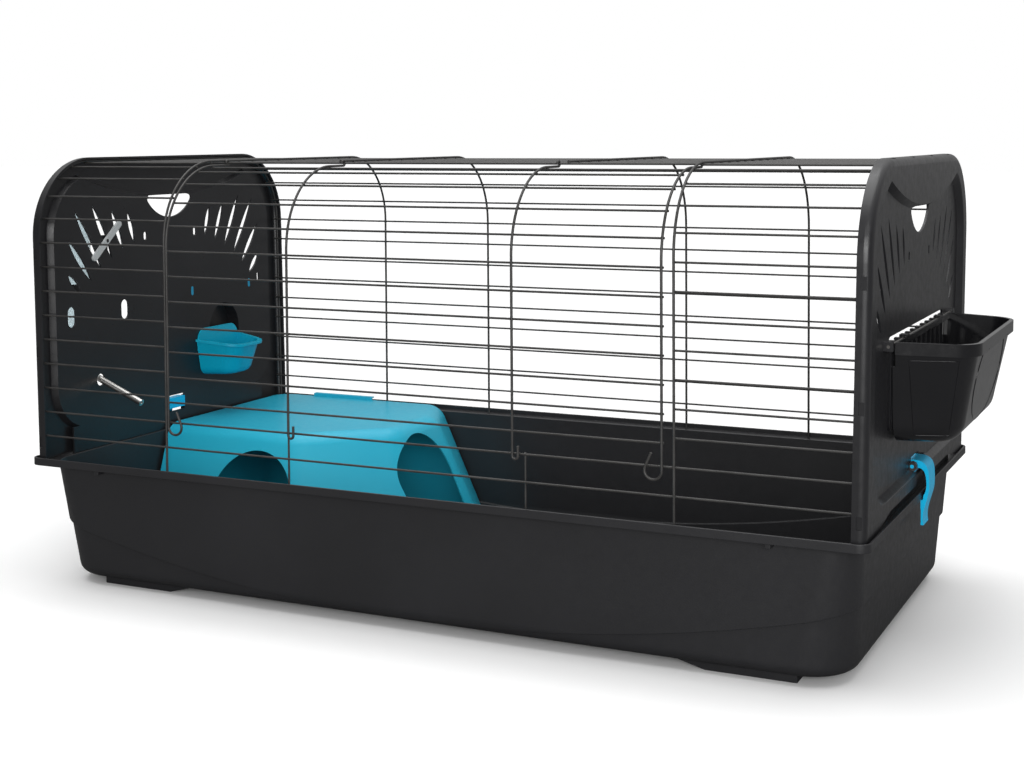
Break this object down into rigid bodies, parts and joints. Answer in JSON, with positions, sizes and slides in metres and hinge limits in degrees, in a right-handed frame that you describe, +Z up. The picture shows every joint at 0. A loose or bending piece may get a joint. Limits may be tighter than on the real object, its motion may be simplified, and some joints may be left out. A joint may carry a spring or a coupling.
{
  "type": "small animal cage",
  "caption": "Small animal cage: deep plastic tray, wire hood with a wide swing-up door between plastic end panels, hay rack, bowl, bottle and hide house.",
  "frame": {"origin": "centre of the tray's footprint on the floor", "axes": "+X runs along the cage from the bottle's end to the hay rack's end, +Y from the door's front to the back, +Z up"},
  "size_m": [1.1526, 0.525, 0.5079],
  "materials": {
    "tray_plastic": "satin injection-moulded plastic",
    "panel_plastic": "satin injection-moulded plastic",
    "rack_plastic": "glossy injection-moulded plastic",
    "wire_coating": "dark powder-coated steel wire",
    "clip_plastic": "vivid blue glossy plastic",
    "bowl_plastic": "blue glossy plastic",
    "house_plastic": "turquoise glossy plastic",
    "peg_plastic": "blue plastic",
    "bottle_plastic": "clear plastic",
    "cap_plastic": "black plastic",
    "seal_rubber": "pale rubber",
    "spout_steel": "polished stainless steel",
    "rod_steel": "steel rod",
    "holder_plastic": "black plastic",
    "toggle_plastic": "light grey plastic"
  },
  "bodies": {
    "cage": {"tray": "tray_plastic", "left_end_panel": "panel_plastic", "right_end_panel": "panel_plastic", "left_end_hoop": "wire_coating", "right_end_hoop": "wire_coating", "left_hood_hoop": "wire_coating", "right_hood_hoop": "wire_coating", "left_back_hoop": "wire_coating", "right_back_hoop": "wire_coating", "hinge_bar": "wire_coating", "top_bars": "wire_coating", "back_bars": "wire_coating", "sill_bars": "wire_coating", "left_front_bars": "wire_coating", "right_front_bars": "wire_coating", "sill_uprights": "wire_coating", "hay_grille": "rack_plastic", "hay_rod": "rod_steel", "slot_pegs": "peg_plastic", "bottle_holder": "holder_plastic", "holder_toggle": "toggle_plastic"},
    "door": {"door_left_outer_hoop": "wire_coating", "door_right_outer_hoop": "wire_coating", "door_left_inner_hoop": "wire_coating", "door_right_inner_hoop": "wire_coating", "door_bars": "wire_coating"},
    "bottle": {"bottle_body": "bottle_plastic", "bottle_cap": "cap_plastic", "bottle_seal": "seal_rubber", "spout_tube": "spout_steel", "spout_ball": "spout_steel"},
    "left_clip": {"left_clip": "clip_plastic"},
    "right_clip": {"right_clip": "clip_plastic"},
    "hay_rack": {"hay_bin": "rack_plastic"},
    "bowl": {"food_bowl": "bowl_plastic"},
    "house": {"hide_house": "house_plastic"}
  },
  "joints": [
    {"name": "door_hinge", "type": "hinge", "parent": "cage", "child": "door", "pos_m": [0, -0.13118, 0.50095], "axis": [-1, 0, 0], "range_deg": [0, 165]},
    {"name": "right_clip_pivot", "type": "hinge", "parent": "cage", "child": "right_clip", "pos_m": [0.49209, 0, 0.18057], "axis": [0, -1, 0], "range_deg": [0, 60]},
    {"name": "left_clip_pivot", "type": "hinge", "parent": "cage", "child": "left_clip", "pos_m": [-0.49209, 0, 0.18057], "axis": [0, 1, 0], "range_deg": [0, 60]},
    {"name": "hay_rack_lift", "type": "slide", "parent": "cage", "child": "hay_rack", "axis": [0.0175, 0, 0.9998], "range_m": [0, 0.018]},
    {"name": "bowl_lift", "type": "slide", "parent": "cage", "child": "bowl", "axis": [-0.0175, 0, 0.9998], "range_m": [0, 0.018]},
    {"name": "bottle_slide", "type": "slide", "parent": "cage", "child": "bottle", "axis": [-0.9272, 0, 0.3746], "range_m": [0, 0.09]},
    {"name": "house_lift", "type": "slide", "parent": "cage", "child": "house", "axis": [0, 0, 1], "range_m": [0, 0.04]}
  ]
}
